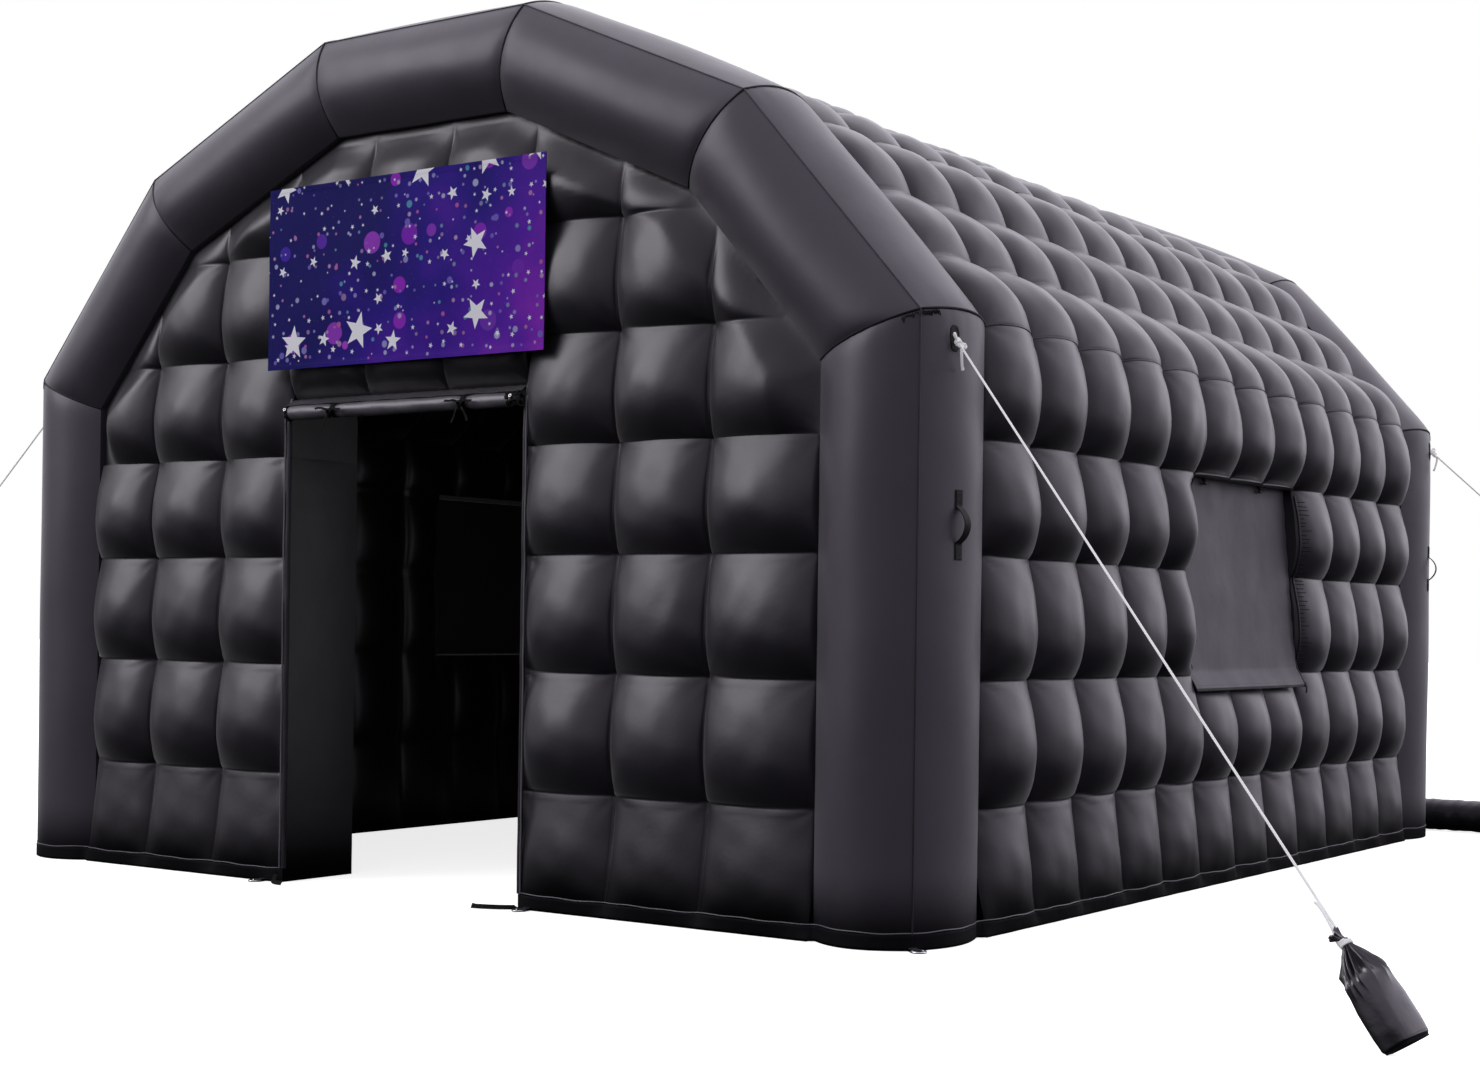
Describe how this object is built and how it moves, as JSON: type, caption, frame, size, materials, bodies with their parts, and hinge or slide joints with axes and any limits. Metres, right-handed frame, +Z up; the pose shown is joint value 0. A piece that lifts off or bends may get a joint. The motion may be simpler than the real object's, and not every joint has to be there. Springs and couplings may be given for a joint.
{
  "type": "inflatable party tent",
  "caption": "Walk-in inflatable tent of quilted air panels between faceted arch tubes, with an open doorway, a gable banner, covered windows, guy ropes, a sandbag and an air duct.",
  "frame": {"origin": "on the ground at the centre of the tent's footprint box, leaving out the ropes, the sandbag and the air duct", "axes": "+X to the right as seen from the front, +Y from the doorway to the back wall, +Z up"},
  "size_m": [7.686, 7.3005, 3.8228],
  "materials": {
    "tent_fabric": "satin coated polyester",
    "flap_fabric": "gloss coated",
    "banner_print": "printed, semi-gloss",
    "cover_fabric": "matt woven",
    "skirt_fabric": "matt coated",
    "duct_fabric": "satin coated",
    "webbing": "woven",
    "ring_metal": "satin zinc plate",
    "rope": "braided",
    "sack_fabric": "satin coated"
  },
  "bodies": {
    "root": {"air_duct": "duct_fabric", "anchor_ring_corner": "ring_metal", "anchor_ring_left": "ring_metal", "anchor_ring_right": "ring_metal", "anchor_tab_corner": "webbing", "anchor_tab_left": "webbing", "anchor_tab_right": "webbing", "back_arch_crown": "tent_fabric", "back_arch_left_leg": "tent_fabric", "back_arch_left_lower_slope": "tent_fabric", "back_arch_left_upper_slope": "tent_fabric", "back_arch_right_leg": "tent_fabric", "back_arch_right_lower_slope": "tent_fabric", "back_arch_right_upper_slope": "tent_fabric", "back_wall": "tent_fabric", "banner": "banner_print", "door_flap_roll": "flap_fabric", "door_flap_strip": "flap_fabric", "door_flap_tie_1": "webbing", "door_flap_tie_2": "webbing", "front_arch_crown": "tent_fabric", "front_arch_left_leg": "tent_fabric", "front_arch_left_lower_slope": "tent_fabric", "front_arch_left_upper_slope": "tent_fabric", "front_arch_right_leg": "tent_fabric", "front_arch_right_lower_slope": "tent_fabric", "front_arch_right_upper_slope": "tent_fabric", "front_gable": "tent_fabric", "front_wall_left": "tent_fabric", "front_wall_right": "tent_fabric", "ground_skirt": "skirt_fabric", "guy_rope_back_right": "rope", "guy_rope_front_left": "rope", "guy_rope_front_right": "rope", "handle_back_left": "webbing", "handle_back_right": "webbing", "handle_front_left": "webbing", "handle_front_right": "webbing", "loose_strap_left": "webbing", "loose_strap_right": "webbing", "roof_crown": "tent_fabric", "roof_left_lower_slope": "tent_fabric", "roof_left_upper_slope": "tent_fabric", "roof_right_lower_slope": "tent_fabric", "roof_right_upper_slope": "tent_fabric", "rope_eye_back_right": "rope", "rope_eye_front_left": "rope", "rope_patch_back_left": "webbing", "rope_patch_back_right": "webbing", "rope_patch_front_left": "webbing", "rope_patch_front_right": "webbing", "sandbag": "sack_fabric", "side_wall_left": "tent_fabric", "side_wall_right": "tent_fabric", "window_cover_left": "cover_fabric", "window_cover_right": "cover_fabric"}
  },
  "joints": []
}
